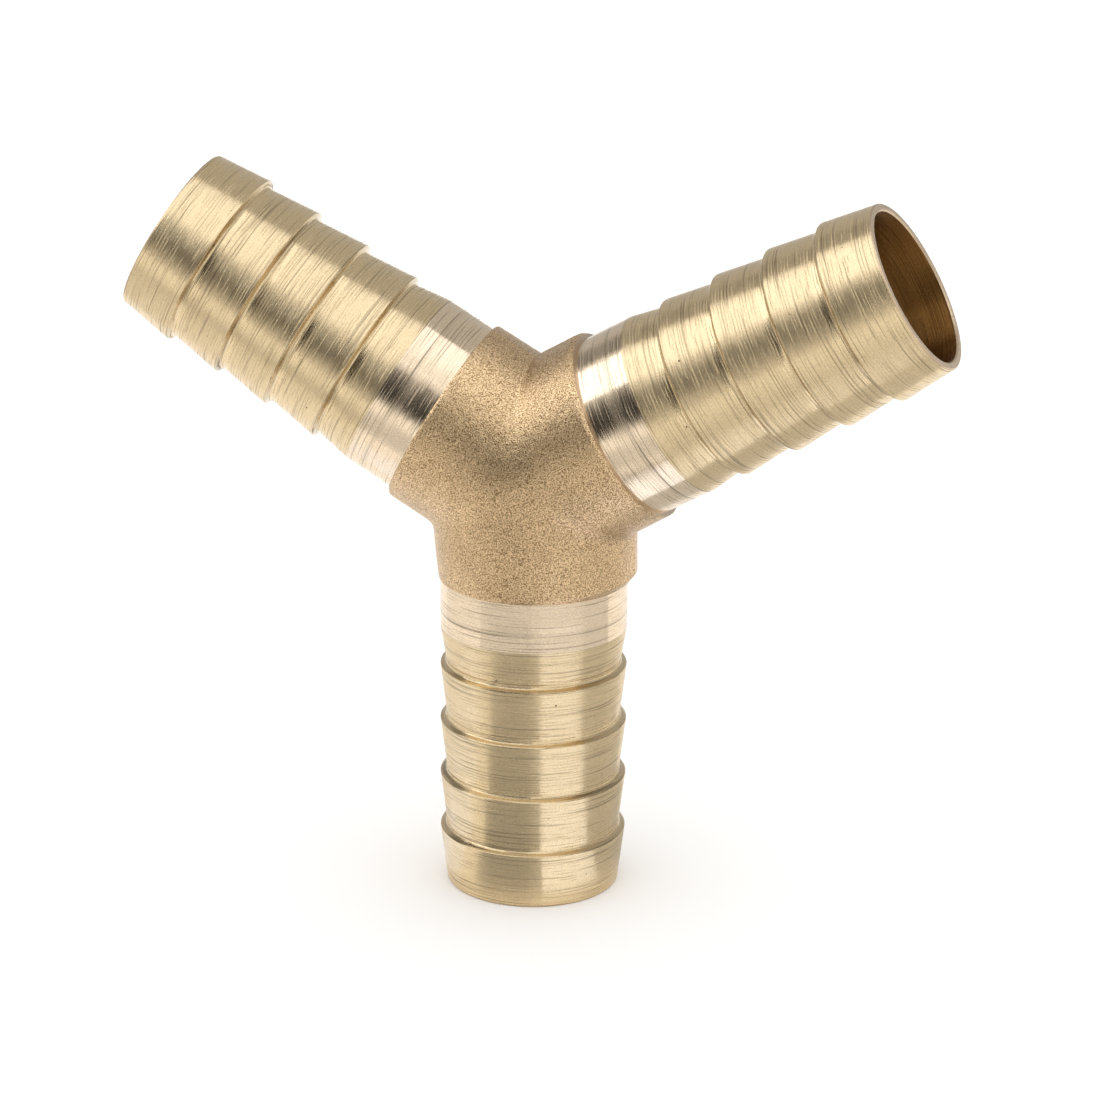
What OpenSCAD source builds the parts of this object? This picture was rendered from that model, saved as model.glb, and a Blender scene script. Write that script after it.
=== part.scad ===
// Barbed Y connector for hose of 19 mm bore: a forged brass hub and three turned
// brass hose tails pressed into it. The three axes lie in one plane, 120 degrees
// apart. Millimetres. The origin is the point where the three axes meet. Z is up
// and the stem runs down along -Z, X is to the right, Y points away to the back.

/* [Hub] */

// Outside radius of the forged collar around each hose tail
collar_radius = 10.1; // [9.8:0.05:11]

// Distance from the origin to the faced end of each collar
collar_reach = 11; // [10:0.1:14]

// Edge break around each faced end
collar_chamfer = 0.3; // [0.1:0.05:0.6]

// Depth of the bored socket behind each faced end
socket_depth = 5; // [3:0.1:5.4]

/* [Hose tail] */

// Radius of the round flow passage through hub and tails
bore_radius = 8; // [7:0.05:8.2]

// Radius of the spigot that is pressed into the hub's socket
spigot_radius = 8.8; // [8.6:0.05:9.1]

// Length of the spigot, shorter than the socket so that the shoulder seats
spigot_length = 4.7; // [2.5:0.1:5]

// Radius of the plain shank where the pushed-on hose comes to rest
shank_radius = 9.5; // [9.2:0.05:9.8]

// Length of the plain shank from the hub's faced end
shank_length = 5.3; // [3:0.1:8]

// Radius of the free end's outside edge
tip_radius = 8.83; // [8.4:0.01:9.2]

// Edge break at the free end, outside and inside
tip_chamfer = 0.15; // [0.05:0.05:0.3]

/* [Barbs] */

// Number of barbs on each tail
barb_count = 4; // [2:1:6]

// Radius of every barb's crest
crest_radius = 9.5; // [9.2:0.05:10]

// Radius of the root behind each barb
root_radius = 8.9; // [8.4:0.05:9.3]

// Radius of the root behind the barb next to the shank
first_root_radius = 8.97; // [8.6:0.01:9.3]

// Distance from the end of the shank to the first crest
first_cone_length = 4.2; // [3:0.1:6]

// Distance from crest to crest
barb_pitch = 5.9; // [4:0.1:8]

// Distance from the last crest to the free end
last_cone_length = 5.8; // [4:0.1:8]

// Length of the steep side of each barb, measured along the axis
barb_rise = 0.6; // [0.3:0.05:1]

// Width of the narrow flat on each crest
crest_land = 0.2; // [0.1:0.05:0.4]

/* [Hidden] */

$fn = 128;

socket_bottom = collar_reach - socket_depth;
shank_end = collar_reach + shank_length;
first_crest = shank_end + first_cone_length;
tail_reach = first_crest + (barb_count - 1) * barb_pitch + last_cone_length;

forged_brass = [0.72, 0.56, 0.33];
turned_brass = [0.9, 0.79, 0.52];

// Turns a shape drawn along +Z to each of the three directions.
stem_turn = 180;
left_turn = -60;
right_turn = 60;

// One arm of the hub, solid, with its free edge broken.
module collar() {
    rotate_extrude()
        polygon([
            [0, 0],
            [collar_radius, 0],
            [collar_radius, collar_reach - collar_chamfer],
            [collar_radius - collar_chamfer, collar_reach],
            [0, collar_reach]
        ]);
}

// The passage through one arm and the wider socket at its end.
module arm_bore() {
    rotate_extrude()
        polygon([
            [0, 0],
            [bore_radius, 0],
            [bore_radius, socket_bottom],
            [spigot_radius, socket_bottom],
            [spigot_radius, collar_reach + 1],
            [0, collar_reach + 1]
        ]);
}

// The forged body: three collars that run into each other, bored from each end.
module hub() {
    color(forged_brass)
        difference() {
            union() {
                for (turn = [stem_turn, left_turn, right_turn])
                    rotate([0, turn, 0]) collar();
            }
            for (turn = [stem_turn, left_turn, right_turn])
                rotate([0, turn, 0]) arm_bore();
        }
}

// Root, rise and crest of barb number i.
function barb_points(i) =
    let (z = first_crest + i * barb_pitch)
    [
        [i == 0 ? first_root_radius : root_radius, z - crest_land / 2 - barb_rise],
        [crest_radius, z - crest_land / 2],
        [crest_radius, z + crest_land / 2]
    ];

// One hose tail, turned in one piece, drawn along +Z.
module hose_tail() {
    color(turned_brass)
        rotate_extrude()
            polygon(concat(
                [
                    [bore_radius, collar_reach - spigot_length],
                    [spigot_radius - 0.2, collar_reach - spigot_length],
                    [spigot_radius, collar_reach - spigot_length + 0.4],
                    [spigot_radius, collar_reach],
                    [shank_radius, collar_reach],
                    [shank_radius, shank_end]
                ],
                [for (i = [0 : barb_count - 1]) each barb_points(i)],
                [
                    [tip_radius, tail_reach - tip_chamfer],
                    [tip_radius - tip_chamfer, tail_reach],
                    [bore_radius + tip_chamfer, tail_reach],
                    [bore_radius, tail_reach - tip_chamfer]
                ]
            ));
}

// The tail that points straight down.
module stem_tail() {
    rotate([0, stem_turn, 0]) hose_tail();
}

// The tail that points up and to the left.
module left_tail() {
    rotate([0, left_turn, 0]) hose_tail();
}

// The tail that points up and to the right.
module right_tail() {
    rotate([0, right_turn, 0]) hose_tail();
}

hub();
stem_tail();
left_tail();
right_tail();
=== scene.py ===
"""Barbed Y connector for 19 mm hose: its looks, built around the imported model.

A forged and blasted brass hub carries three turned brass hose tails. The pieces
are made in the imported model's own frame, in metres: Z up, the stem along -Z.
"""

import math

import bmesh
import bpy
import numpy as np
from bpy.props import FloatProperty, FloatVectorProperty, IntProperty, PointerProperty
from mathutils import Matrix, Vector


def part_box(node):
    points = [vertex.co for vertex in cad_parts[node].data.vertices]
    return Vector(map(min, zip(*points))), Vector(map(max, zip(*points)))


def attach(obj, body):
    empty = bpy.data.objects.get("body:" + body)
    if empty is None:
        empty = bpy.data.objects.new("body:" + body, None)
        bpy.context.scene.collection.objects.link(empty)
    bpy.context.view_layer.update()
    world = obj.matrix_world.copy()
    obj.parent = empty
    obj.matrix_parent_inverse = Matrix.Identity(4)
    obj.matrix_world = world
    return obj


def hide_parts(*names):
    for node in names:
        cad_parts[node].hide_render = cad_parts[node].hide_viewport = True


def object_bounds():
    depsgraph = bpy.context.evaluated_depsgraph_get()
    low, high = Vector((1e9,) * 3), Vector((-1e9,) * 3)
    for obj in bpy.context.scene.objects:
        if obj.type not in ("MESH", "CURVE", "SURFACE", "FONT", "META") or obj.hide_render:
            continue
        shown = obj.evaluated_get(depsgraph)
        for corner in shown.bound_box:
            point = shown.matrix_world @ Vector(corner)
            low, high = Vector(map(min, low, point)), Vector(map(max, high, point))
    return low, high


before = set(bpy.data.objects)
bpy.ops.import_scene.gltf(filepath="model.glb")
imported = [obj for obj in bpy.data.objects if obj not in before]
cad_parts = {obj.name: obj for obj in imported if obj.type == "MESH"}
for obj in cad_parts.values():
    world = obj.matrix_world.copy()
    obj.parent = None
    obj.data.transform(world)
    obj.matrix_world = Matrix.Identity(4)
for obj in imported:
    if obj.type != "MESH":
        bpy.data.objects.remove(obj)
CAD_BOX = [list(corner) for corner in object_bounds()]

bl_info = {
    "name": "Barbed Y Connector",
    "version": (1, 0, 0),
    "blender": (4, 5, 0),
    "location": "3D View > Sidebar > Connector",
    "description": "Builds a forged and turned brass barbed Y connector",
    "category": "Add Mesh",
}

MM = 0.001
SEED = 7

# The kinds of node that the rows below name most.
MATH = "ShaderNodeMath"
VECTOR = "ShaderNodeVectorMath"
NOISE = "ShaderNodeTexNoise"
RANGE = "ShaderNodeMapRange"

# What a face of the hub was left by. An edge break keeps the blasted finish.
SKIN, CUT, PASSAGE, EDGE_BREAK = range(4)

# How far round its own axis each tail stands, in degrees, and how much its noise
# moves on, so that no two tails carry the same marks.
FIRST_STAND, NEXT_STAND = 37, 113
NEXT_SEED = 40

# Every arm is the upright one turned about Y by this many degrees.
ARMS = {"stem": 180.0, "left": -60.0, "right": 60.0}

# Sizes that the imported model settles, so that the pieces always fit it.
HUB_REACH = -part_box("hub")[0].z
TAIL_REACH = -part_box("stem_tail")[0].z
TAIL_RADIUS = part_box("stem_tail")[1].y
COLLAR_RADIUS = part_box("hub")[1].y
FLOOR_HEIGHT = CAD_BOX[0][2]


def linear(hex_colour):
    """An sRGB hex colour as three linear values."""
    values = [int(hex_colour[i : i + 2], 16) / 255 for i in (1, 3, 5)]
    return tuple(
        v / 12.92 if v <= 0.04045 else ((v + 0.055) / 1.055) ** 2.4 for v in values
    )


def length(name, description, default, **more):
    """A size property, given in millimetres and kept in metres."""
    return FloatProperty(
        name=name,
        description=description,
        default=default * MM,
        unit="LENGTH",
        subtype="DISTANCE",
        precision=6,
        **more,
    )


def colour(name, description, default):
    """A colour property, given as sRGB hex and kept linear."""
    return FloatVectorProperty(
        name=name,
        description=description,
        default=linear(default),
        subtype="COLOR",
        size=3,
        min=0,
        max=1,
    )


class ConnectorHub(bpy.types.PropertyGroup):
    """Sizes of the forged hub."""

    collar_radius: length(
        "Collar radius", "Outside radius of each forged collar", COLLAR_RADIUS / MM
    )
    reach: length(
        "Reach", "Distance from the centre to each faced end", HUB_REACH / MM
    )
    face_radius: length(
        "Face radius", "Outside radius of the faced end inside its edge break", 9.9
    )
    socket_radius: length("Socket radius", "Radius of the bored socket", 8.8)
    socket_depth: length("Socket depth", "Depth of the bored socket", 5.0)
    bore_radius: length("Bore radius", "Radius of the flow passage", 8.0)
    fillet: length(
        "Upper fillet", "Size of the fillet between the two upper collars", 0.25
    )
    web: length(
        "Lower fillet", "Size of the fillet between the stem and the upper collars", 0.6
    )
    draft: length(
        "Draft", "How much an upper collar narrows towards its faced end", 0.1
    )
    stem_draft: length(
        "Stem draft", "How much the stem collar narrows towards its faced end", 0.45
    )
    parting: length(
        "Parting line", "Height of the trimmed ridge where the two dies met", 0.09
    )
    stem_offset: length(
        "Stem offset", "How far the forged stem collar sits off the turned axis", 0.42
    )
    grain: length("Grain", "Width of one blasted dimple", 0.23)
    grain_depth: length("Grain depth", "Depth of the blasted dimples", 0.06)
    around: IntProperty(
        name="Steps around", description="Points around a collar", default=456, min=24
    )
    along: IntProperty(
        name="Steps along", description="Points along a collar", default=58, min=8
    )


class ConnectorTail(bpy.types.PropertyGroup):
    """Sizes of the three turned hose tails."""

    bore_radius: length("Bore radius", "Radius of the flow passage", 8.0)
    spigot_radius: length("Spigot radius", "Radius of the pressed-in spigot", 8.8)
    spigot_length: length("Spigot length", "Length of the pressed-in spigot", 4.7)
    shank_radius: length(
        "Shank radius", "Radius of the plain shank", TAIL_RADIUS / MM
    )
    shank_length: length("Shank length", "Length of the plain shank", 5.3)
    crest_radius: length("Crest radius", "Radius of each barb's crest", TAIL_RADIUS / MM)
    root_radius: length("Root radius", "Radius of the root behind each barb", 8.88)
    first_cone: length("First cone", "Length from shank to first crest", 4.2)
    first_root: length("First root", "Radius at the end of the first cone", 8.97)
    pitch: length("Barb pitch", "Distance from crest to crest", 5.9)
    rise: length("Barb rise", "Length of each barb's hollow steep side", 0.8)
    land: length("Crest land", "Width of the narrow flat on each crest", 0.12)
    tip_radius: length("Tip radius", "Outside radius at the free end", 8.83)
    tip_chamfer: length("Tip edge break", "Edge break at the free end", 0.15)
    feed: length("Feed", "Distance between turning marks", 0.26)
    feed_depth: length("Feed depth", "Depth of the turning marks", 0.022)
    step: length("Step", "Distance between points along the skin", 0.083)
    barbs: IntProperty(
        name="Barbs", description="Number of barbs on a tail", default=4, min=1, max=8
    )
    sides: IntProperty(
        name="Sides", description="Points around a tail", default=192, min=24
    )


class ConnectorFinish(bpy.types.PropertyGroup):
    """Colours of the brass surfaces."""

    blasted: colour("Blasted skin", "Sand-blasted forging skin", "#F5D4A5")
    # Painted shade: the darker colour laid into the low spots of the blasted dimples.
    dimple: colour("Dimple shade", "Duller brass down in the dimples", "#84643F")
    turned: colour("Turned barbs", "Free-turned brass", "#EBD2A6")
    shank: colour("Shank", "Finely turned brass, a little redder", "#F3DCBC")
    faced: colour("Faced ends", "Faced brass of the tips", "#CDB596")
    # Painted shade: the cut ring's colour is set darker all over, for the shade that the shank beside it
    # casts into the corner.
    cut: colour("Cut ring", "Faced brass round each collar, stained in the corner", "#C2AE98")
    # Darker than the turned brass: partly the dull drilled surface's own colour, partly painted shade inside
    # the passage.
    bore: colour("Bore", "Drilled brass, dulled by coolant", "#A0743E")
    pit: colour("Pit", "Dark spot in the bar", "#4A3A26")


class ConnectorStudio(bpy.types.PropertyGroup):
    """The view and the light."""

    azimuth: FloatProperty(
        name="Azimuth",
        description="Camera angle from straight ahead towards +X",
        default=math.radians(15.5),
        subtype="ANGLE",
        unit="ROTATION",
    )
    elevation: FloatProperty(
        name="Elevation",
        description="Camera angle above the horizontal",
        default=math.radians(18.83),
        subtype="ANGLE",
        unit="ROTATION",
    )
    roll: FloatProperty(
        name="Roll",
        description="Camera turn about its own line of sight",
        default=math.radians(0.38),
        subtype="ANGLE",
        unit="ROTATION",
    )
    distance: length("Distance", "From the connector's centre to the camera", 408.4)
    right: length("Aim right", "How far the camera is moved to its right", 1.54)
    up: length("Aim up", "How far the camera is moved up", -8.1)
    lens: FloatProperty(
        name="Lens", description="Focal length in mm on a 36 mm frame", default=133.2
    )
    softbox: FloatProperty(
        name="Softbox", description="Brightness of the overhead softbox", default=1.22
    )
    room: FloatProperty(
        name="Room", description="Brightness of the room in reflections", default=0.52
    )


def add_node(tree, kind, settings=None, inputs=None):
    """Adds one node, with its settings and with values or links on its inputs."""
    node = tree.nodes.new(kind)
    for key, value in (settings or {}).items():
        setattr(node, key, value)
    for key, value in (inputs or {}).items():
        socket = node.inputs[key]
        if isinstance(value, bpy.types.NodeSocket):
            tree.links.new(value, socket)
        elif isinstance(value, tuple) and len(value) == 3 and socket.type == "RGBA":
            socket.default_value = (*value, 1)
        else:
            socket.default_value = value
    return node


def add_rows(tree, found, rows):
    """Adds the node that each row gives, and keeps its output in found by its name.

    A row holds a name, the node's kind, settings and inputs, and which output it
    gives if that isn't the first. An input that is the name of something found
    already is linked to it.
    """
    for name, kind, settings, inputs, *taken in rows:
        links = {
            key: found[value] if isinstance(value, str) and value in found else value
            for key, value in inputs.items()
        }
        found[name] = add_node(tree, kind, settings, links).outputs[taken[0] if taken else 0]


# Materials


def new_material(name):
    """An empty node material, its tree and its shader."""
    material = bpy.data.materials.new(name)
    material.use_nodes = True
    tree = material.node_tree
    tree.nodes.clear()
    shader = add_node(tree, "ShaderNodeBsdfPrincipled", inputs={"Metallic": 1.0})
    add_node(
        tree, "ShaderNodeOutputMaterial", inputs={"Surface": shader.outputs["BSDF"]}
    )
    return material, tree, shader


def blasted_forged_brass(finish):
    """Hot-forged brass, sand-blasted.

    The grit leaves overlapping dimples about 0.2 mm wide. They spread every
    reflection wide and sparkle where the light turns over, and the colour is
    painted darker down in them, as painted shade. A forging's skin also varies
    a little over several millimetres.
    """
    material, tree, shader = new_material("blasted_forged_brass")
    found = {"place": add_node(tree, "ShaderNodeTexCoord").outputs["Object"]}
    add_rows(tree, found, (
        ("grit", NOISE, {}, {"Vector": "place", "Scale": 1 / (0.11 * MM), "Detail": 1.5, "Roughness": 0.6}),
        ("patch", NOISE, {}, {"Vector": "place", "Scale": 1 / (6 * MM), "Detail": 3.0}),
        ("lifted", RANGE, {}, {"Value": "grit", "From Min": 0.38, "From Max": 0.57}),
        # Low spots of the grit take the darker dimple colour: painted shade in the dimples.
        (
            "skin", "ShaderNodeMix", {"data_type": "RGBA"},
            {0: "lifted", 6: tuple(finish.dimple), 7: tuple(finish.blasted)}, 2,
        ),
        (
            "drift", RANGE, {},
            {"Value": "patch", "From Min": 0.3, "From Max": 0.7, "To Min": 0.93, "To Max": 1.05},
        ),
        ("colour", VECTOR, {"operation": "SCALE"}, {"Vector": "skin", "Scale": "drift"}),
        (
            "rough", RANGE, {},
            {"Value": "grit", "From Min": 0.3, "From Max": 0.7, "To Min": 0.36, "To Max": 0.28},
        ),
        ("bump", "ShaderNodeBump", {}, {"Height": "grit", "Strength": 1.0, "Distance": 0.048 * MM}),
    ))
    tree.links.new(found["colour"], shader.inputs["Base Color"])
    tree.links.new(found["rough"], shader.inputs["Roughness"])
    tree.links.new(found["bump"], shader.inputs["Normal"])
    return material


def lathe_surface(name, brass, finish, roughness, marks, speckle, painted_groove_shade, cusps):
    """Brass cut on a lathe: fine rings run round the piece and spread light along it."""
    material, tree, shader = new_material(name)
    low, high = roughness
    found = {}
    add_rows(tree, found, (
        ("place", "ShaderNodeAttribute", {"attribute_name": "lathe_place"}, {}, "Vector"),
        ("axis", "ShaderNodeAttribute", {"attribute_name": "lathe_axis"}, {}, "Vector"),
        ("groove", "ShaderNodeAttribute", {"attribute_name": "groove"}, {}, "Fac"),
        # A ring is about 0.17 mm wide and fades out after some 12 mm round the piece.
        (
            "drawn", VECTOR, {"operation": "MULTIPLY"},
            {0: "place", 1: (1 / (12 * MM), 1 / (12 * MM), 1 / (0.17 * MM))},
        ),
        ("rings", NOISE, {}, {"Vector": "drawn", "Scale": 1.0, "Detail": 1.0, "Roughness": 0.5}),
        ("grains", NOISE, {}, {"Vector": "place", "Scale": 1 / (0.12 * MM), "Detail": 1.0}),
        # The tool leaves a thin cusp at every turn, 0.33 mm on from the last, which
        # wanders a little and is burnished away in places.
        ("along", "ShaderNodeSeparateXYZ", {}, {0: "place"}, 2),
        ("wander", NOISE, {}, {"Vector": "place", "Scale": 1 / (2.5 * MM), "Detail": 1.0}),
        ("turns", MATH, {"operation": "MULTIPLY_ADD"}, {0: "along", 1: 1 / (0.33 * MM), 2: "wander"}),
        ("bent turns", MATH, {"operation": "MULTIPLY_ADD"}, {0: "rings", 1: 0.9, 2: "turns"}),
        ("off cusp", MATH, {"operation": "PINGPONG"}, {0: "bent turns", 1: 0.5}),
        (
            "whole cusp", RANGE, {},
            {"Value": "off cusp", "From Min": 0.05, "From Max": 0.2, "To Min": 1.0, "To Max": 0.0},
        ),
        (
            "stretched", VECTOR, {"operation": "MULTIPLY"},
            {0: "place", 1: (1 / (3 * MM), 1 / (3 * MM), 1 / (0.5 * MM))},
        ),
        ("wear", NOISE, {}, {"Vector": "stretched", "Scale": 1.0, "Detail": 1.0}),
        ("left", RANGE, {}, {"Value": "wear", "From Min": 0.4, "From Max": 0.56}),
        ("worn cusp", MATH, {"operation": "MULTIPLY"}, {0: "whole cusp", 1: "left"}),
        ("cusp", MATH, {"operation": "MULTIPLY"}, {0: "worn cusp", 1: cusps}),
        ("off pit", "ShaderNodeTexVoronoi", {}, {"Vector": "place", "Scale": 1 / (2.6 * MM)}, "Distance"),
        ("draw", "ShaderNodeTexVoronoi", {}, {"Vector": "place", "Scale": 1 / (2.6 * MM)}, "Color"),
        (
            "near pit", RANGE, {},
            {"Value": "off pit", "From Min": 0.03, "From Max": 0.05, "To Min": 1.0, "To Max": 0.0},
        ),
        ("has pit", MATH, {"operation": "GREATER_THAN"}, {0: "draw", 1: 0.55}),
        ("pit", MATH, {"operation": "MULTIPLY"}, {0: "near pit", 1: "has pit"}),
        # The deepest rings are painted as thin dark rings, painted shade down in their
        # grooves, and the stippled swarf marks between them read as a faint speckle.
        (
            "scratch", RANGE, {},
            {"Value": "rings", "From Min": 0.34, "From Max": 0.4, "To Min": 0.66, "To Max": 1.0},
        ),
        (
            "stipple", RANGE, {},
            {"Value": "grains", "From Min": 0.3, "From Max": 0.7, "To Min": 0.86, "To Max": 1.1},
        ),
        ("tone", MATH, {"operation": "MULTIPLY"}, {0: "scratch", 1: "stipple"}),
        # The barb roots, their walls and the shank's seam are painted darker here: painted shade in the
        # grooves.
        (
            "shade", RANGE, {},
            {"Value": "groove", "From Min": 1.0, "From Max": 3.0, "To Min": 0.0, "To Max": painted_groove_shade},
        ),
        ("shaded", MATH, {"operation": "SUBTRACT"}, {0: "tone", 1: "shade"}),
        ("dull", MATH, {"operation": "MULTIPLY_ADD"}, {0: "cusp", 1: -0.17, 2: "shaded"}),
        ("metal", VECTOR, {"operation": "SCALE"}, {0: tuple(brass), "Scale": "dull"}),
        ("colour", "ShaderNodeMix", {"data_type": "RGBA"}, {0: "pit", 6: "metal", 7: tuple(finish.pit)}, 2),
        ("ring height", MATH, {"operation": "MULTIPLY_ADD"}, {0: "grains", 1: speckle, 2: "rings"}),
        ("height", MATH, {"operation": "MULTIPLY_ADD"}, {0: "cusp", 1: 0.3, 2: "ring height"}),
        ("bump", "ShaderNodeBump", {}, {"Height": "height", "Strength": 1.0, "Distance": marks}),
        # Crests of the rings are burnished, and so is the stretch where the tool
        # dwelt. A cusp is torn, so it is rough and shines every way alike.
        (
            "satin", RANGE, {},
            {"Value": "rings", "From Min": 0.53, "From Max": 0.62, "To Min": high, "To Max": low},
        ),
        ("dwelt", "ShaderNodeMix", {"data_type": "FLOAT"}, {0: "groove", 2: "satin", 3: 0.22}),
        ("rough", "ShaderNodeMix", {"data_type": "FLOAT"}, {0: "cusp", 2: "dwelt", 3: 0.55}),
        ("one way", MATH, {"operation": "SUBTRACT"}, {0: 1.0, 1: "cusp"}),
    ))
    tree.links.new(found["colour"], shader.inputs["Base Color"])
    tree.links.new(found["rough"], shader.inputs["Roughness"])
    tree.links.new(found["one way"], shader.inputs["Anisotropic"])
    tree.links.new(found["axis"], shader.inputs["Tangent"])
    tree.links.new(found["bump"], shader.inputs["Normal"])
    return material


def free_turned_brass(finish):
    """Free-machining brass bar, turned at a coarse feed.

    Its rings blur a reflection along the tail and leave its sides crisp, so
    every barb carries soft-ended lengthwise bands broken by fine bright rings.
    """
    return lathe_surface(
        "free_turned_brass", finish.turned, finish, (0.28, 0.31), 0.05 * MM, 0.06, 0.4, 1.0
    )


def fine_turned_brass(finish):
    """The same brass after a fine finishing cut, on the shank.

    It is nearly a mirror: its bands are high in contrast and a little pinker.
    """
    return lathe_surface(
        "fine_turned_brass", finish.shank, finish, (0.14, 0.17), 0.01 * MM, 0.0, 0.3, 0.8
    )


def drilled_brass(finish):
    """The bored passage, dull from drilling, which darkens as light bounces in it; its colour is also set
    darker than the turned brass, partly as painted shade inside the passage.
    """
    return lathe_surface(
        "drilled_brass", finish.bore, finish, (0.3, 0.4), 0.02 * MM, 0.3, 0.0, 0.3
    )


def faced_surface(name, brass):
    """Faced ends and edge breaks, cut square across with a sharp tool.

    Their rings are too fine to show one by one, so they read as a paler, greyer
    satin ring with a few bright specks of burr.
    """
    material, tree, shader = new_material(name)
    place = add_node(tree, "ShaderNodeTexCoord").outputs["Object"]
    burr = add_node(
        tree, "ShaderNodeTexNoise", inputs={"Vector": place, "Scale": 1 / (0.3 * MM), "Detail": 2.0}
    ).outputs["Fac"]
    rough = add_node(
        tree,
        "ShaderNodeMapRange",
        inputs={"Value": burr, "From Min": 0.35, "From Max": 0.65, "To Min": 0.45, "To Max": 0.25},
    ).outputs["Result"]
    bump = add_node(
        tree,
        "ShaderNodeBump",
        inputs={"Height": burr, "Strength": 1.0, "Distance": 0.03 * MM},
    ).outputs["Normal"]
    shader.inputs["Base Color"].default_value = (*brass, 1)
    tree.links.new(rough, shader.inputs["Roughness"])
    tree.links.new(bump, shader.inputs["Normal"])
    return material


def faced_brass(finish):
    """The faced tip of a hose tail."""
    return faced_surface("faced_brass", finish.faced)


def cut_forged_brass(finish):
    """The ring that was cut round each collar, set darker all over as painted shade from the shank beside
    it.
    """
    return faced_surface("cut_forged_brass", finish.cut)


# Shapes


def arm_matrix(turn):
    """Turns the upright arm, drawn along +Z, to its place."""
    return Matrix.Rotation(math.radians(turn), 4, "Y")


def new_tree(name, sizes):
    """A Geometry Nodes tree with its named inputs, and the input node."""
    tree = bpy.data.node_groups.new(name, "GeometryNodeTree")
    tree.interface.new_socket(
        "Geometry", in_out="INPUT", socket_type="NodeSocketGeometry"
    )
    tree.interface.new_socket(
        "Geometry", in_out="OUTPUT", socket_type="NodeSocketGeometry"
    )
    for label, value in sizes.items():
        kind = "NodeSocketInt" if isinstance(value, int) else "NodeSocketFloat"
        if isinstance(value, bpy.types.Material):
            kind = "NodeSocketMaterial"
        tree.interface.new_socket(label, in_out="INPUT", socket_type=kind)
    return tree, add_node(tree, "NodeGroupInput")


def apply_tree(base, tree, sizes, name):
    """Runs the tree on the base object and returns the result as a plain mesh object."""
    modifier = base.modifiers.new(tree.name, "NODES")
    modifier.node_group = tree
    for item in tree.interface.items_tree:
        if item.in_out == "INPUT" and item.name in sizes:
            modifier[item.identifier] = sizes[item.name]
    graph = bpy.context.evaluated_depsgraph_get()
    mesh = bpy.data.meshes.new_from_object(base.evaluated_get(graph))
    base.modifiers.remove(modifier)
    bpy.data.objects.remove(base)
    mesh.name = name
    made = bpy.data.objects.new(name, mesh)
    bpy.context.scene.collection.objects.link(made)
    if not mesh.polygons:
        raise RuntimeError(f"{name} came out empty")
    mesh.polygons.foreach_set("use_smooth", [True] * len(mesh.polygons))
    return made


def close_and_face_out(mesh):
    """Merges the points that seams share, and turns an inside-out shell round."""
    shell = bmesh.new()
    shell.from_mesh(mesh)
    bmesh.ops.remove_doubles(shell, verts=shell.verts, dist=0.002 * MM)
    if shell.calc_volume(signed=True) < 0:
        bmesh.ops.reverse_faces(shell, faces=shell.faces)
    open_edges = sum(1 for edge in shell.edges if not edge.is_manifold)
    shell.to_mesh(mesh)
    shell.free()
    if open_edges:
        raise RuntimeError(f"{mesh.name} has {open_edges} open edges")


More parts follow.
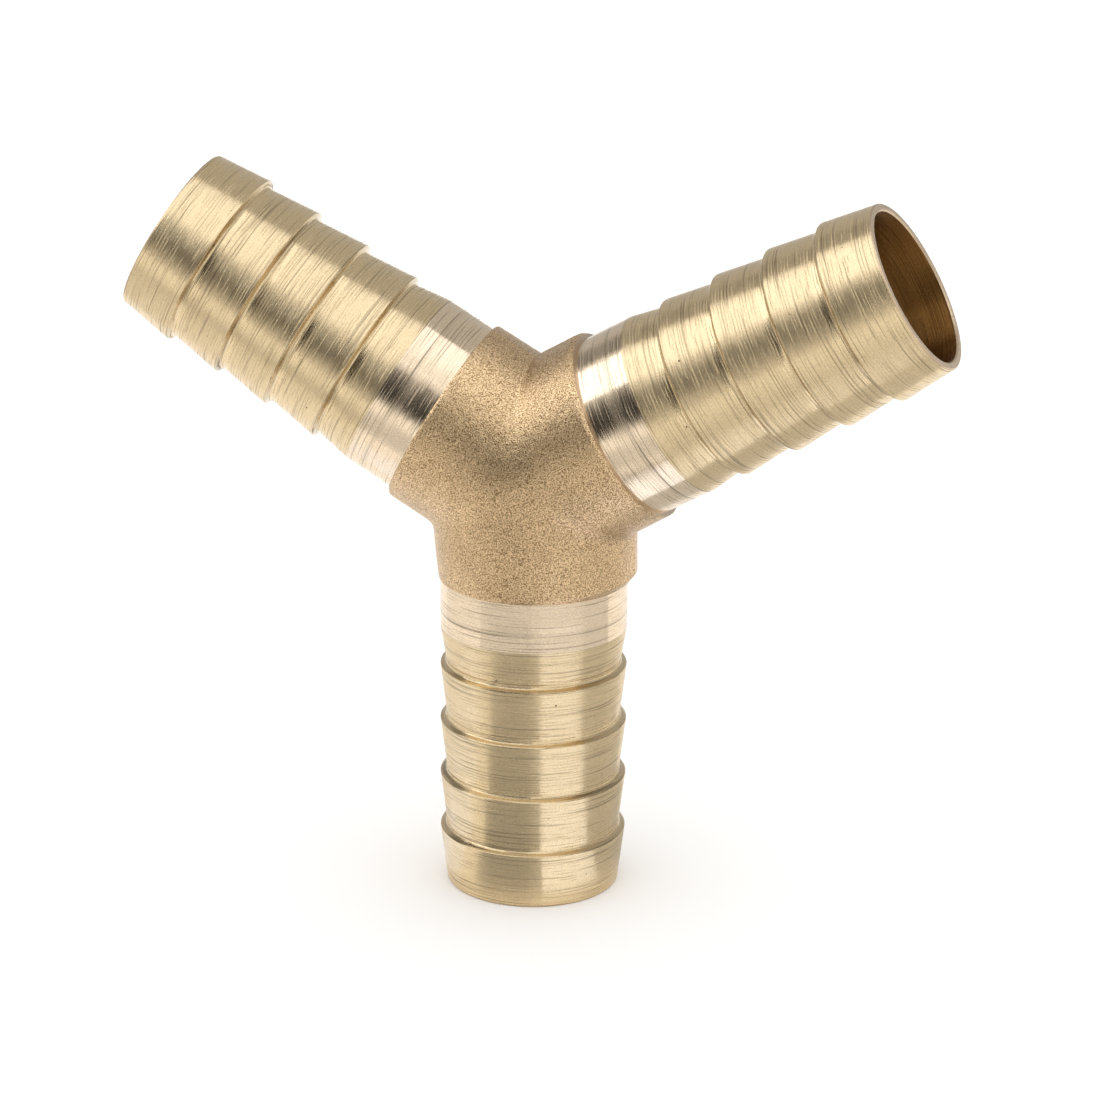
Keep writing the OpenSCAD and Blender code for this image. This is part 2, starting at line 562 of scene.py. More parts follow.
def hose_tail_tree(sizes):
    """The rule for a hose tail: barbs by counting pitches, turning marks by noise, then spun.

    On the outline x is the radius and y the distance from the centre. Once it is
    spun, z is the distance.
    """
    tree, given = new_tree("turned hose tail", sizes)
    size = given.outputs
    place = add_node(tree, "GeometryNodeInputPosition").outputs[0]
    axes = add_node(tree, "ShaderNodeSeparateXYZ", inputs={0: place}).outputs
    found = {name: size[name] for name in sizes} | {"x": axes[0], "y": axes[1], "z": axes[2]}
    add_rows(tree, found, (
        ("on skin", "GeometryNodeInputNamedAttribute", {"data_type": "FLOAT"}, {"Name": "skin"}),
        # Which crest was passed last (-1 before the first) and how far behind it is.
        ("crest end", MATH, {"operation": "MULTIPLY_ADD"}, {0: "Land", 1: 0.5, 2: "First crest"}),
        ("past", MATH, {"operation": "SUBTRACT"}, {0: "y", 1: "crest end"}),
        ("pitches", MATH, {"operation": "DIVIDE"}, {0: "past", 1: "Pitch"}),
        ("passed", MATH, {"operation": "FLOOR"}, {0: "pitches"}),
        ("last", MATH, {"operation": "SUBTRACT"}, {0: "Barbs", 1: 1.0}),
        ("number", MATH, {"operation": "MINIMUM"}, {0: "passed", 1: "last"}),
        ("counted", MATH, {"operation": "MULTIPLY"}, {0: "number", 1: "Pitch"}),
        ("behind", MATH, {"operation": "SUBTRACT"}, {0: "past", 1: "counted"}),
        # The cone that falls from that crest, or from the shank before the first.
        ("fall", MATH, {"operation": "SUBTRACT"}, {0: "Crest radius", 1: "Root radius"}),
        ("crest room", MATH, {"operation": "ADD"}, {0: "Rise", 1: "Land"}),
        ("run", MATH, {"operation": "SUBTRACT"}, {0: "Pitch", 1: "crest room"}),
        ("slope", MATH, {"operation": "DIVIDE"}, {0: "fall", 1: "run"}),
        ("fallen", MATH, {"operation": "MULTIPLY"}, {0: "behind", 1: "slope"}),
        ("later cone", MATH, {"operation": "SUBTRACT"}, {0: "Crest radius", 1: "fallen"}),
        ("first start", MATH, {"operation": "ADD"}, {0: "Shank end", 1: "crest room"}),
        ("first run", MATH, {"operation": "SUBTRACT"}, {0: "First crest", 1: "first start"}),
        ("first fall", MATH, {"operation": "SUBTRACT"}, {0: "Shank radius", 1: "First root"}),
        ("first slope", MATH, {"operation": "DIVIDE"}, {0: "first fall", 1: "first run"}),
        ("past shank", MATH, {"operation": "SUBTRACT"}, {0: "y", 1: "Shank end"}),
        ("along first", MATH, {"operation": "MAXIMUM"}, {0: "past shank", 1: 0.0}),
        ("first fallen", MATH, {"operation": "MULTIPLY"}, {0: "along first", 1: "first slope"}),
        ("first cone", MATH, {"operation": "SUBTRACT"}, {0: "Shank radius", 1: "first fallen"}),
        ("before", MATH, {"operation": "LESS_THAN"}, {0: "number", 1: -0.5}),
        (
            "cone", "ShaderNodeMix", {"data_type": "FLOAT"},
            {0: "before", 2: "later cone", 3: "first cone"},
        ),
        # The hollow steep side of the next barb. Behind the last crest it is sunk a
        # metre deep, so that the cone runs on to the tip.
        ("to go", MATH, {"operation": "SUBTRACT"}, {0: "behind", 1: "run"}),
        ("started", MATH, {"operation": "MAXIMUM"}, {0: "to go", 1: 0.0}),
        ("climb", MATH, {"operation": "DIVIDE"}, {0: "started", 1: "Rise"}),
        ("hollow", MATH, {"operation": "POWER"}, {0: "climb", 1: 7.0}),
        ("wall side", MATH, {"operation": "MULTIPLY_ADD"}, {0: "fall", 1: "hollow", 2: "Root radius"}),
        ("near last", MATH, {"operation": "SUBTRACT"}, {0: "last", 1: 0.5}),
        ("has next", MATH, {"operation": "LESS_THAN"}, {0: "number", 1: "near last"}),
        ("none next", MATH, {"operation": "SUBTRACT"}, {0: 1.0, 1: "has next"}),
        ("steep", MATH, {"operation": "SUBTRACT"}, {0: "wall side", 1: "none next"}),
        ("higher", MATH, {"operation": "MAXIMUM"}, {0: "cone", 1: "steep"}),
        ("turned", MATH, {"operation": "MINIMUM"}, {0: "higher", 1: "Crest radius"}),
        (
            "eased", "GeometryNodeBlurAttribute", {"data_type": "FLOAT"},
            {0: "turned", "Iterations": 1, "Weight": 0.3},
        ),
        # The stretch where the tool dwelt before it drew back up to the next crest, and the barb's wall: the
        # materials make it smoother there, and paint it darker as painted shade.
        (
            "dwell", RANGE, {"interpolation_type": "SMOOTHSTEP"},
            {"Value": "to go", "From Min": -0.7 * MM, "From Max": 0.05 * MM},
        ),
        ("wall", RANGE, {}, {"Value": "climb", "From Min": 0.5, "From Max": 0.85}),
        ("corner", MATH, {"operation": "ADD"}, {0: "dwell", 1: "wall"}),
        ("barb groove", MATH, {"operation": "MULTIPLY"}, {0: "corner", 1: "has next"}),
        # The fine line where the finishing cut of the shank stopped, which the materials paint darker as
        # painted shade.
        ("off seam", MATH, {"operation": "ABSOLUTE"}, {0: "past shank"}),
        ("seam", MATH, {"operation": "LESS_THAN"}, {0: "off seam", 1: 0.06 * MM}),
        ("seam groove", MATH, {"operation": "MULTIPLY"}, {0: "seam", 1: 3.0}),
        ("any groove", MATH, {"operation": "MAXIMUM"}, {0: "barb groove", 1: "seam groove"}),
        ("skin groove", MATH, {"operation": "MULTIPLY"}, {0: "any groove", 1: "on skin"}),
        # Turning marks: uneven rings, deeper here and there, and finer on the shank.
        ("feeds", MATH, {"operation": "DIVIDE"}, {0: "y", 1: "Feed"}),
        ("feed place", MATH, {"operation": "ADD"}, {0: "feeds", 1: "Seed"}),
        (
            "rings", NOISE, {"noise_dimensions": "1D"},
            {"W": "feed place", "Scale": 1.0, "Detail": 1.5, "Roughness": 0.6},
        ),
        ("swells", MATH, {"operation": "DIVIDE"}, {0: "y", 1: 1.3 * MM}),
        ("swell place", MATH, {"operation": "ADD"}, {0: "swells", 1: "Seed"}),
        ("swell", NOISE, {"noise_dimensions": "1D"}, {"W": "swell place", "Scale": 1.0, "Detail": 0.0}),
        ("strength", MATH, {"operation": "ADD"}, {0: "swell", 1: 0.5}),
        ("depth", MATH, {"operation": "MULTIPLY"}, {0: "Feed depth", 1: "strength"}),
        ("ring", MATH, {"operation": "SUBTRACT"}, {0: "rings", 1: 0.5}),
        ("deep mark", MATH, {"operation": "MULTIPLY"}, {0: "ring", 1: "depth"}),
        ("on barbs", MATH, {"operation": "GREATER_THAN"}, {0: "y", 1: "Shank end"}),
        ("share", MATH, {"operation": "MULTIPLY_ADD"}, {0: "on barbs", 1: 0.55, 2: 0.45}),
        ("mark", MATH, {"operation": "MULTIPLY"}, {0: "deep mark", 1: "share"}),
        ("marked", MATH, {"operation": "ADD"}, {0: "eased", 1: "mark"}),
        ("radius", "ShaderNodeMix", {"data_type": "FLOAT"}, {0: "on skin", 2: "x", 3: "marked"}),
        # The outline's place on the ring that it is carried round.
        ("off bore", MATH, {"operation": "SUBTRACT"}, {0: "radius", 1: "Bore radius"}),
        ("back", MATH, {"operation": "MULTIPLY"}, {0: "y", 1: -1.0}),
        ("spot", "ShaderNodeCombineXYZ", {}, {0: "off bore", 1: "back", 2: 0.0}),
        # Each zone of the piece takes the finish that its own cut left.
        ("x squared", MATH, {"operation": "MULTIPLY"}, {0: "x", 1: "x"}),
        ("y squared", MATH, {"operation": "MULTIPLY"}, {0: "y", 1: "y"}),
        ("out squared", MATH, {"operation": "ADD"}, {0: "x squared", 1: "y squared"}),
        ("out", MATH, {"operation": "SQRT"}, {0: "out squared"}),
        ("bore skin", MATH, {"operation": "ADD"}, {0: "Bore radius", 1: 0.05 * MM}),
        ("in bore", MATH, {"operation": "LESS_THAN"}, {0: "out", 1: "bore skin"}),
        ("past bore", MATH, {"operation": "ADD"}, {0: "Bore radius", 1: 0.3 * MM}),
        ("outside", MATH, {"operation": "GREATER_THAN"}, {0: "out", 1: "past bore"}),
        ("low enough", MATH, {"operation": "LESS_THAN"}, {0: "z", 1: "Shank end"}),
        ("on shank", MATH, {"operation": "MULTIPLY"}, {0: "outside", 1: "low enough"}),
        ("edge break", MATH, {"operation": "MULTIPLY"}, {0: "Tip", 1: 1.02}),
        ("end start", MATH, {"operation": "SUBTRACT"}, {0: "Reach", 1: "edge break"}),
        ("at end", MATH, {"operation": "GREATER_THAN"}, {0: "z", 1: "end start"}),
        ("everywhere", "FunctionNodeInputBool", {"boolean": True}, {}),
        # The outline is drawn out and carried round the bore.
        (
            "grooved", "GeometryNodeStoreNamedAttribute", {"data_type": "FLOAT", "domain": "POINT"},
            {"Geometry": size["Geometry"], "Name": "groove", "Value": "skin groove"},
        ),
        ("drawn", "GeometryNodeSetPosition", {}, {"Geometry": "grooved", "Position": "spot"}),
        ("outline", "GeometryNodeMeshToCurve", {}, {"Mesh": "drawn"}),
        ("circle", "GeometryNodeCurvePrimitiveCircle", {}, {"Resolution": "Sides", "Radius": "Bore radius"}),
        ("spun", "GeometryNodeCurveToMesh", {}, {"Curve": "circle", "Profile Curve": "outline"}),
        ("solid", "GeometryNodeRealizeInstances", {}, {0: "spun"}),
    ))
    solid = found["solid"]
    for label, where in (
        ("Barb finish", "everywhere"),
        ("Shank finish", "on shank"),
        ("Bore finish", "in bore"),
        ("End finish", "at end"),
    ):
        solid = add_node(
            tree,
            "GeometryNodeSetMaterial",
            inputs={"Geometry": solid, "Selection": found[where], "Material": size[label]},
        ).outputs[0]
    add_node(tree, "NodeGroupOutput", inputs={"Geometry": solid})
    return tree


def tail_outline(tail, hub):
    """The closed half section of a tail: x is radius, y is distance from the centre.

    The skin from the shoulder to the tip is a straight line of close points that
    the node tree then shapes, marked by the attribute skin.
    """
    reach, tip = TAIL_REACH, tail.tip_chamfer
    bottom = hub.reach - tail.spigot_length
    steps = int(round((reach - tip - hub.reach) / tail.step))
    skin = [
        (tail.shank_radius, hub.reach + (reach - tip - hub.reach) * i / steps)
        for i in range(steps + 1)
    ]
    rim = [
        (tail.tip_radius - tip, reach),
        ((tail.tip_radius + tail.bore_radius) / 2, reach),
        (tail.bore_radius + tip, reach),
    ]
    rows = 30
    bore = [
        (tail.bore_radius, reach - tip + (bottom - reach + tip) * i / rows)
        for i in range(rows + 1)
    ]
    spigot = [
        (tail.spigot_radius - 0.2 * MM, bottom),
        (tail.spigot_radius, bottom + 0.4 * MM),
        (tail.spigot_radius, hub.reach),
    ]
    points = skin + rim + bore + spigot
    marks = [1.0] * len(skin) + [0.0] * (len(points) - len(skin))
    count = len(points)
    mesh = bpy.data.meshes.new("tail outline")
    mesh.from_pydata(
        [(x, y, 0.0) for x, y in points], [(i, (i + 1) % count) for i in range(count)], []
    )
    mesh.attributes.new("skin", "FLOAT", "POINT").data.foreach_set("value", marks)
    return mesh


def lathe_attributes(mesh, axis):
    """Keeps each point's upright place, and the tail's axis, for the materials."""
    spots = np.zeros(len(mesh.vertices) * 3, np.float32)
    mesh.vertices.foreach_get("co", spots)
    place = mesh.attributes.new("lathe_place", "FLOAT_VECTOR", "POINT")
    place.data.foreach_set("vector", spots)
    line = mesh.attributes.new("lathe_axis", "FLOAT_VECTOR", "POINT")
    line.data.foreach_set(
        "vector", np.tile(np.array(axis, np.float32), len(mesh.vertices))
    )


def collar_distance(spot, arm, hub, shift):
    """How far points lie outside one forged collar, which is drawn about its axis."""
    turn = math.radians(ARMS[arm])
    axis = np.array([math.sin(turn), 0.0, math.cos(turn)])
    side = np.array([math.cos(turn), 0.0, -math.sin(turn)])
    half_ridge, below_collar = 0.5 * MM, 0.02 * MM
    along = spot @ axis
    share = np.clip(along / hub.reach, 0.0, 1.0)
    # A forging die's two halves and the chuck never line up: the collar drifts
    # sideways towards its end, and it narrows by its draft.
    x = spot @ side - shift[0] * share * share
    y = spot[..., 1] - shift[1] * share
    draft = hub.stem_draft if arm == "stem" else hub.draft
    ridge = hub.parting * np.exp(-((y / half_ridge) ** 2))
    radius = hub.collar_radius - below_collar + draft * (1.0 - share) + ridge
    behind = np.minimum(along, 0.0)
    return np.sqrt(x * x + y * y + behind * behind) - radius


def smooth_least(a, b, blend):
    """The lesser of two distances, with a fillet of the given size where they meet."""
    gap = np.maximum(blend - np.abs(a - b), 0.0) / blend
    return np.minimum(a, b) - gap * gap * blend * 0.25


def forging_distance(spot, hub, shifts):
    """How far points lie outside the whole forging."""
    stem = collar_distance(spot, "stem", hub, shifts["stem"])
    left = collar_distance(spot, "left", hub, shifts["left"])
    right = collar_distance(spot, "right", hub, shifts["right"])
    upper = smooth_least(left, right, hub.fillet)
    return smooth_least(stem, upper, hub.web)


def forging_reach(start, way, hub, shifts):
    """How far along each ray the forging's skin lies, by the secant rule."""
    near = np.full(start.shape[:-1], hub.collar_radius * 0.95)
    far = np.full(start.shape[:-1], hub.collar_radius * 1.05)
    at_near = forging_distance(start + way * near[..., None], hub, shifts)
    for _ in range(8):
        at_far = forging_distance(start + way * far[..., None], hub, shifts)
        settled = np.abs(at_far - at_near) < 1e-12
        slope = np.where(settled, 1.0, at_far - at_near)
        step = np.where(settled, 0.0, at_far * (far - near) / slope)
        near, at_near = far, at_far
        far = far - step
    return far


def hub_shell(hub, shifts):
    """The hub's closed shell: three like grids that meet on the planes between arms."""
    around, along = hub.around, hub.along
    angle = np.arange(around) * 2 * math.pi / around
    lean = np.abs(np.cos(angle)) / math.sqrt(3)
    # The edge break's least width, and how much longer than wide it is.
    least_edge, edge_slope = 0.02 * MM, 1.3
    mid_face_radius = 9.3 * MM
    spots, faces, kinds = [], [], []
    for turn in ARMS.values():
        turn = math.radians(turn)
        axis = np.array([math.sin(turn), 0.0, math.cos(turn)])
        side = np.array([math.cos(turn), 0.0, -math.sin(turn)])
        out = np.cos(angle)[:, None] * side + np.sin(angle)[:, None] * np.array([0, 1.0, 0])
        origin = np.zeros((around, 3))
        # Where this collar meets the others, on the planes halfway between them.
        ray = lean[:, None] * axis + out
        root_radius = forging_reach(origin, ray, hub, shifts)
        root_height = root_radius * lean
        # Where the edge break cuts the skin: it is turned about the tail's axis,
        # so it is wide on the side where the forging stands out.
        edge_height = np.full(around, hub.reach - 0.2 * MM)
        for _ in range(6):
            edge_radius = forging_reach(edge_height[:, None] * axis, out, hub, shifts)
            edge_width = np.maximum(edge_radius - hub.face_radius, least_edge)
            edge_height = hub.reach - edge_slope * edge_width
        rings = []
        for row in range(along + 1):
            share = row / along
            height = root_height + (edge_height - root_height) * share
            if row == 0:
                radius = root_radius
            else:
                radius = forging_reach(height[:, None] * axis, out, hub, shifts)
            rings.append((radius, height, SKIN))
        level = np.full(around, hub.reach)
        depth = level - hub.socket_depth
        root = hub.bore_radius * lean
        face = np.minimum(edge_radius - least_edge, hub.face_radius)
        rings.append((face, level, EDGE_BREAK))
        for radius, height, kind in (
            (mid_face_radius, level, CUT),
            (hub.socket_radius, level, CUT),
            (hub.socket_radius, depth, PASSAGE),
            (hub.bore_radius, depth, PASSAGE),
            (hub.bore_radius, depth + (root - depth) * 0.5, PASSAGE),
            (hub.bore_radius, root, PASSAGE),
        ):
            rings.append((np.full(around, radius), height, kind))
        first = sum(len(s) for s in spots)
        for number, (radius, height, kind) in enumerate(rings):
            spots.append(height[:, None] * axis + radius[:, None] * out)
            if number:
                start = first + (number - 1) * around
                low = start + np.arange(around)
                low_next = start + (np.arange(around) + 1) % around
                faces.append(np.stack([low, low_next, low_next + around, low + around], 1))
                kinds.append(np.full(around, kind))
    mesh = bpy.data.meshes.new("hub shell")
    mesh.from_pydata(
        np.concatenate(spots).tolist(), [], np.concatenate(faces).tolist()
    )
    mesh.attributes.new("kind", "INT", "FACE").data.foreach_set(
        "value", np.concatenate(kinds).astype(np.int32)
    )
    close_and_face_out(mesh)
    return mesh


def blasted_skin_tree(sizes):
    """The rule for the blasted skin: dimples of two widths pressed in by noise."""
    tree, given = new_tree("blasted skin", sizes)
    size = given.outputs
    found = {name: size[name] for name in sizes}
    same = {"data_type": "INT", "operation": "EQUAL"}
    add_rows(tree, found, (
        ("place", "GeometryNodeInputPosition", {}, {}),
        ("outwards", "GeometryNodeInputNormal", {}, {}),
        ("face kind", "GeometryNodeInputNamedAttribute", {"data_type": "INT"}, {"Name": "kind"}),
        ("skin", "FunctionNodeCompare", same, {2: "face kind", 3: SKIN}),
        ("cut", "FunctionNodeCompare", same, {2: "face kind", 3: CUT}),
        ("bored", "FunctionNodeCompare", same, {2: "face kind", 3: PASSAGE}),
        ("everywhere", "FunctionNodeInputBool", {"boolean": True}, {}),
        # Narrow dimples, and fainter ones a little over twice as wide.
        ("narrow", MATH, {"operation": "DIVIDE"}, {0: 1.0, 1: "Grain"}),
        ("wide grain", MATH, {"operation": "MULTIPLY"}, {0: "Grain", 1: 2.3}),
        ("wide", MATH, {"operation": "DIVIDE"}, {0: 1.0, 1: "wide grain"}),
        (
            "fine", NOISE, {"noise_dimensions": "4D"},
            {"Vector": "place", "W": "Seed", "Scale": "narrow", "Detail": 0.5},
        ),
        (
            "coarse", NOISE, {"noise_dimensions": "4D"},
            {"Vector": "place", "W": "Seed", "Scale": "wide", "Detail": 0.5},
        ),
        ("fine part", MATH, {"operation": "MULTIPLY_ADD"}, {0: "fine", 1: 1.0, 2: -0.5}),
        ("coarse part", MATH, {"operation": "MULTIPLY_ADD"}, {0: "coarse", 1: 0.8, 2: -0.4}),
        ("total", MATH, {"operation": "ADD"}, {0: "fine part", 1: "coarse part"}),
        ("push", MATH, {"operation": "MULTIPLY"}, {0: "total", 1: "Depth"}),
        ("offset", VECTOR, {"operation": "SCALE"}, {0: "outwards", "Scale": "push"}),
        (
            "shaped", "GeometryNodeSetPosition", {},
            {"Geometry": size["Geometry"], "Selection": "skin", "Offset": "offset"},
        ),
        ("solid", "GeometryNodeRealizeInstances", {}, {0: "shaped"}),
    ))
    solid = found["solid"]
    for label, where in (
        ("Skin finish", "everywhere"),
        ("Cut finish", "cut"),
        ("Bore finish", "bored"),
    ):
        solid = add_node(
            tree,
            "GeometryNodeSetMaterial",
            inputs={"Geometry": solid, "Selection": found[where], "Material": size[label]},
        ).outputs[0]
    add_node(tree, "NodeGroupOutput", inputs={"Geometry": solid})
    return tree


def material(name, maker, finish):
    """The named material, made once."""
    return bpy.data.materials.get(name) or maker(finish)


# Operators


class CONNECTOR_OT_forged_hub(bpy.types.Operator):
    """Builds the forged, blasted hub with its faced ends and passages"""

    bl_idname = "connector.forged_hub"
    bl_label = "Forged hub"

    def execute(self, context):
        hub, finish = context.scene.connector_hub, context.scene.connector_finish
        # Offsets of each forged collar from its tail, across it and towards the back.
        shifts = {
            "stem": (-hub.stem_offset, 0.0),
            "left": (-0.08 * MM, -0.04 * MM),
            "right": (-0.16 * MM, -0.05 * MM),
        }
        base = bpy.data.objects.new("hub base", hub_shell(hub, shifts))
        context.scene.collection.objects.link(base)
        sizes = {
            "Grain": hub.grain,
            "Depth": hub.grain_depth,
            "Seed": float(SEED),
            "Skin finish": material("blasted_forged_brass", blasted_forged_brass, finish),
            "Cut finish": material("cut_forged_brass", cut_forged_brass, finish),
            "Bore finish": material("drilled_brass", drilled_brass, finish),
        }
        piece = apply_tree(base, blasted_skin_tree(sizes), sizes, "forged_hub")
        # The three passages lie in one plane, and +Y is square to all of them.
        lathe_attributes(piece.data, (0.0, 1.0, 0.0))
        piece.data.set_sharp_from_angle(angle=math.radians(40))
        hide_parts("hub")
        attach(piece, "root")
        return {"FINISHED"}


class CONNECTOR_OT_hose_tails(bpy.types.Operator):
    """Builds the three turned hose tails"""

    bl_idname = "connector.hose_tails"
    bl_label = "Hose tails"

    def execute(self, context):
        tail, hub = context.scene.connector_tail, context.scene.connector_hub
        finish = context.scene.connector_finish
        shank_end = hub.reach + tail.shank_length
        sizes = {
            "Bore radius": tail.bore_radius,
            "Shank radius": tail.shank_radius,
            "Shank end": shank_end,
            "First crest": shank_end + tail.first_cone,
            "First root": tail.first_root,
            "Crest radius": tail.crest_radius,
            "Root radius": tail.root_radius,
            "Pitch": tail.pitch,
            "Rise": tail.rise,
            "Land": tail.land,
            "Barbs": tail.barbs,
            "Reach": TAIL_REACH,
            "Tip": tail.tip_chamfer,
            "Feed": tail.feed,
            "Feed depth": tail.feed_depth,
            "Seed": float(SEED),
            "Sides": tail.sides,
            "Barb finish": material("free_turned_brass", free_turned_brass, finish),
            "Shank finish": material("fine_turned_brass", fine_turned_brass, finish),
            "Bore finish": material("drilled_brass", drilled_brass, finish),
            "End finish": material("faced_brass", faced_brass, finish),
        }
        tree = hose_tail_tree(sizes)
        for number, (arm, turn) in enumerate(ARMS.items()):
            base = bpy.data.objects.new("tail base", tail_outline(tail, hub))
            context.scene.collection.objects.link(base)
            sizes["Seed"] = float(SEED + NEXT_SEED * number)
            piece = apply_tree(base, tree, sizes, f"turned_{arm}_tail")
            close_and_face_out(piece.data)
            stand = math.radians(FIRST_STAND + NEXT_STAND * number)
            piece.data.transform(Matrix.Rotation(stand, 4, "Z"))
            place = arm_matrix(turn)
            lathe_attributes(piece.data, place @ Vector((0, 0, 1)))
            piece.data.transform(place)
            piece.data.set_sharp_from_angle(angle=math.radians(38))
            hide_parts(f"{arm}_tail")
            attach(piece, "root")
        return {"FINISHED"}


class CONNECTOR_OT_studio(bpy.types.Operator):
    """Sets the pale floor, the soft light, its cards and the camera"""

    bl_idname = "connector.studio"
    bl_label = "Studio"

    def execute(self, context):
        studio = context.scene.connector_studio
        self.floor()
        self.room(context, studio)
        self.softbox(studio)
        self.cards()
        self.camera(context, studio)
        context.scene.view_settings.view_transform = "Standard"
        return {"FINISHED"}

    def sheet(self, name, corners, surface):
        """A flat four-cornered sheet."""
        mesh = bpy.data.meshes.new(name)
        mesh.from_pydata(corners, [], [tuple(range(len(corners)))])
        mesh.materials.append(surface)
        piece = bpy.data.objects.new(name, mesh)
        bpy.context.scene.collection.objects.link(piece)
        return piece

    def floor(self):
        """White matt paper."""
        surface, _, shader = new_material("matt_white_paper")
        shader.inputs["Metallic"].default_value = 0.0
        shader.inputs["Base Color"].default_value = (*linear("#FBFBFB"), 1)
        shader.inputs["Roughness"].default_value = 1.0
        shader.inputs["Specular IOR Level"].default_value = 0.0
        half = 3.0
        corners = ((-half, -half), (half, -half), (half, half), (-half, half))
        self.sheet("floor", [(x, y, FLOOR_HEIGHT) for x, y in corners], surface)

    def room(self, context, studio):
        """A white room, seen a little darker in the brass than it is."""
        world = bpy.data.worlds.new("room")
        world.use_nodes = True
        tree = world.node_tree
        tree.nodes.clear()
        path = add_node(tree, "ShaderNodeLightPath")
        strength = add_node(
            tree,
            "ShaderNodeMapRange",
            inputs={
                "Value": path.outputs["Is Glossy Ray"],
                "To Min": 1.2,
                "To Max": studio.room,
            },
        ).outputs["Result"]
        light = add_node(
            tree, "ShaderNodeBackground", inputs={"Color": (1.0, 1.0, 1.0), "Strength": strength}
        )
        add_node(
            tree, "ShaderNodeOutputWorld", inputs={"Surface": light.outputs["Background"]}
        )
        context.scene.world = world

    def softbox(self, studio):
        """Three softboxes side by side overhead, brighter towards the left."""
        height = 0.6
        for name, left, right, share in (
            ("left_softbox", -1.9 * height, -1.1 * height, 1.6),
            ("main_softbox", -1.1 * height, -0.5 * height, 0.96),
            ("fill_softbox", -0.5 * height, 1.1 * height, 0.8),
        ):
            light = bpy.data.lights.new(name, "AREA")
            light.shape = "RECTANGLE"
            light.size, light.size_y = right - left, 1.3 * height
            light.energy = share * studio.softbox * math.pi * light.size * light.size_y
            light.color = (0.95, 1.0, 1.1)
            lamp = bpy.data.objects.new(name, light)
            lamp.location = ((left + right) / 2, -0.45 * height, height)
            lamp.visible_camera = False
            lamp.visible_diffuse = False
            bpy.context.scene.collection.objects.link(lamp)

    def card(self, name, corners, brightness, tint=(1.0, 1.0, 1.0)):
        """A card that shows only in the brass."""
        surface = bpy.data.materials.new(name)
        surface.use_nodes = True
        tree = surface.node_tree
        tree.nodes.clear()
        glow = add_node(
            tree,
            "ShaderNodeEmission",
            inputs={"Color": tint, "Strength": brightness},
        )
        add_node(
            tree, "ShaderNodeOutputMaterial", inputs={"Surface": glow.outputs["Emission"]}
        )
        piece = self.sheet(name, corners, surface)
        for ray in ("camera", "diffuse", "transmission", "volume_scatter", "shadow"):
            setattr(piece, f"visible_{ray}", False)

    def cards(self):
        """Flags and cards around the connector, which draw the bands in the brass."""

        def spot(azimuth, elevation, distance):
            a, e = math.radians(azimuth), math.radians(elevation)
            return (
                distance * math.sin(a) * math.cos(e),
                -distance * math.cos(a) * math.cos(e),
                distance * math.sin(e),
            )

        for name, start, end, low, high, distance, brightness in (
            ("black_flag", -45, 13, -4.5, 34, 0.56, 0.02),
            ("side_window", 14, 78, -3.5, 50, 0.7, 1.0),
            ("left_reflector", -56, -108, -3.5, 12, 0.7, 1.1),
        ):
            ends = ((start, low), (end, low), (end, high), (start, high))
            self.card(name, [spot(*corner, distance) for corner in ends], brightness)
        leaning = ((-106, 26), (-140, 28), (-134, 47), (-108, 44))
        self.card("rear_flag", [spot(*corner, 0.8) for corner in leaning], 0.22)

        # Sectors of floor round the stem, each from one angle to another and from
        # one distance to another in millimetres.
        plain, cool = (1.0, 1.0, 1.0), (0.95, 1.0, 1.15)
        z = FLOOR_HEIGHT + 0.2 * MM
        steps = 12
        for name, start, end, near, far, brightness, tint in (
            ("dark_floor_card", -38, 24, 11, 50, 0.41, plain),
            ("bright_floor_card", 24, 78, 11, 50, 1.35, cool),
            ("grey_floor_card", 78, 150, 11, 60, 0.58, plain),
            ("left_floor_card", -104, -56, 11, 50, 1.2, cool),
            ("far_floor_card", -50, 115, 64, 150, 0.7, plain),
            ("far_left_floor_card", -112, -50, 105, 220, 0.6, plain),
        ):
            turns = [math.radians(start + (end - start) * i / steps) for i in range(steps + 1)]
            outer = [(far * MM * math.sin(a), -far * MM * math.cos(a), z) for a in turns]
            inner = [(near * MM * math.sin(a), -near * MM * math.cos(a), z) for a in turns]
            self.card(name, outer + inner[::-1], brightness, tint)

    def camera(self, context, studio):
        """The camera, from angles, a distance and a small sideways move."""
        a, e, r = studio.azimuth, studio.elevation, studio.roll
        back = Vector((math.sin(a) * math.cos(e), -math.cos(a) * math.cos(e), math.sin(e)))
        level = Vector((math.cos(a), math.sin(a), 0.0))
        rise = back.cross(level)
        right = level * math.cos(r) + rise * math.sin(r)
        up = rise * math.cos(r) - level * math.sin(r)
        place = back * studio.distance + right * studio.right + up * studio.up
        data = bpy.data.cameras.new("camera")
        data.sensor_width = 36
        data.lens = studio.lens
        data.clip_start = 0.01
        camera = bpy.data.objects.new("camera", data)
        facing = Matrix((right, up, back)).transposed().to_4x4()
        camera.matrix_world = Matrix.Translation(place) @ facing
        context.scene.collection.objects.link(camera)
        context.scene.camera = camera


class CONNECTOR_PT_panel(bpy.types.Panel):
    """Sizes, colours and builders of the connector"""

    bl_idname = "CONNECTOR_PT_panel"
    bl_label = "Barbed Y Connector"
    bl_space_type = "VIEW_3D"
    bl_region_type = "UI"
    bl_category = "Connector"

    def draw(self, context):
        for operator, group in STEPS:
            box = self.layout.box()
            box.operator(operator.bl_idname)
            sizes = getattr(context.scene, group)
            for name in sizes.bl_rna.properties.keys():
                if name not in ("rna_type", "name"):
                    box.prop(sizes, name)
        finish = self.layout.box()
        for name in context.scene.connector_finish.bl_rna.properties.keys():
            if name not in ("rna_type", "name"):
                finish.prop(context.scene.connector_finish, name)


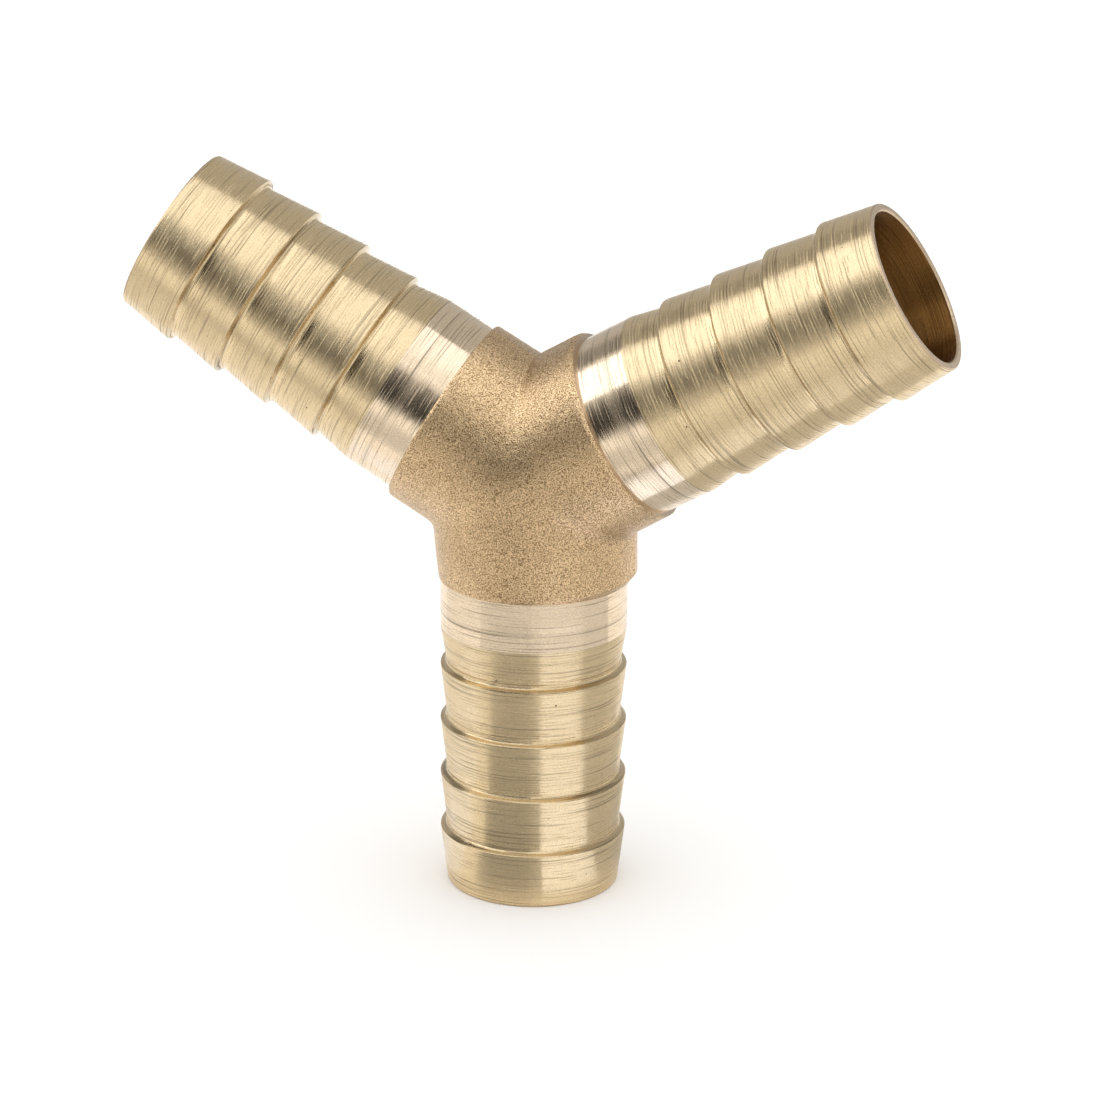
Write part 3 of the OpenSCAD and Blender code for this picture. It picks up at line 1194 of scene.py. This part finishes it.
GROUPS = {
    "connector_hub": ConnectorHub,
    "connector_tail": ConnectorTail,
    "connector_finish": ConnectorFinish,
    "connector_studio": ConnectorStudio,
}
STEPS = (
    (CONNECTOR_OT_forged_hub, "connector_hub"),
    (CONNECTOR_OT_hose_tails, "connector_tail"),
    (CONNECTOR_OT_studio, "connector_studio"),
)


def register():
    for group in GROUPS.values():
        bpy.utils.register_class(group)
    for operator, _ in STEPS:
        bpy.utils.register_class(operator)
    bpy.utils.register_class(CONNECTOR_PT_panel)
    for name, group in GROUPS.items():
        setattr(bpy.types.Scene, name, PointerProperty(type=group))


def unregister():
    for name in GROUPS:
        delattr(bpy.types.Scene, name)
    bpy.utils.unregister_class(CONNECTOR_PT_panel)
    for operator, _ in reversed(STEPS):
        bpy.utils.unregister_class(operator)
    for group in reversed(GROUPS.values()):
        bpy.utils.unregister_class(group)


def main():
    """Builds everything in order."""
    register()
    bpy.ops.connector.forged_hub()
    bpy.ops.connector.hose_tails()
    bpy.ops.connector.studio()


if __name__ == "__main__":
    main()
